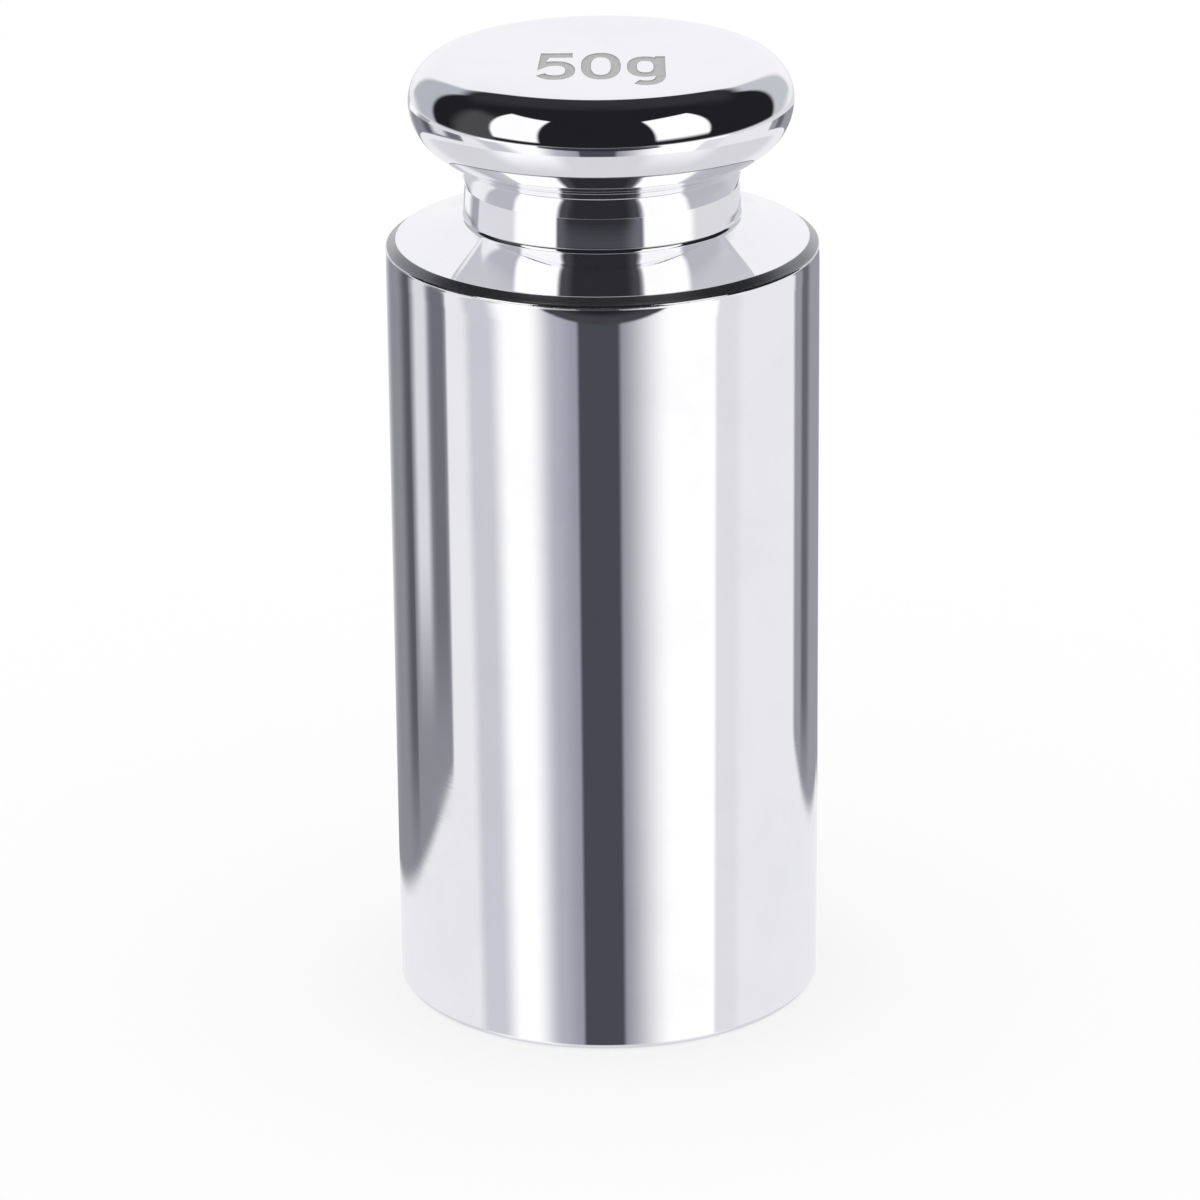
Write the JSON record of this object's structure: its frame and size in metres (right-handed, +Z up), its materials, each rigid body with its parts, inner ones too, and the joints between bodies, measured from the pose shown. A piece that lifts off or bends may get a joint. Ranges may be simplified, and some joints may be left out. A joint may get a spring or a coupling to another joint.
{
  "type": "calibration weight",
  "caption": "Polished cylindrical calibration weight with a chamfered shoulder, a narrow hollow-turned neck and a round-edged lifting knob.",
  "frame": {"origin": "centre of the flat base that the weight stands on", "axes": "+Z up along the weight's axis, from the base to the knob; -Y is the front, from which the nominal value on the knob reads upright"},
  "size_m": [0.016, 0.016, 0.0361],
  "materials": {
    "polished_chrome": "polished"
  },
  "bodies": {
    "root": {"knob_weight": "polished_chrome"}
  },
  "joints": []
}
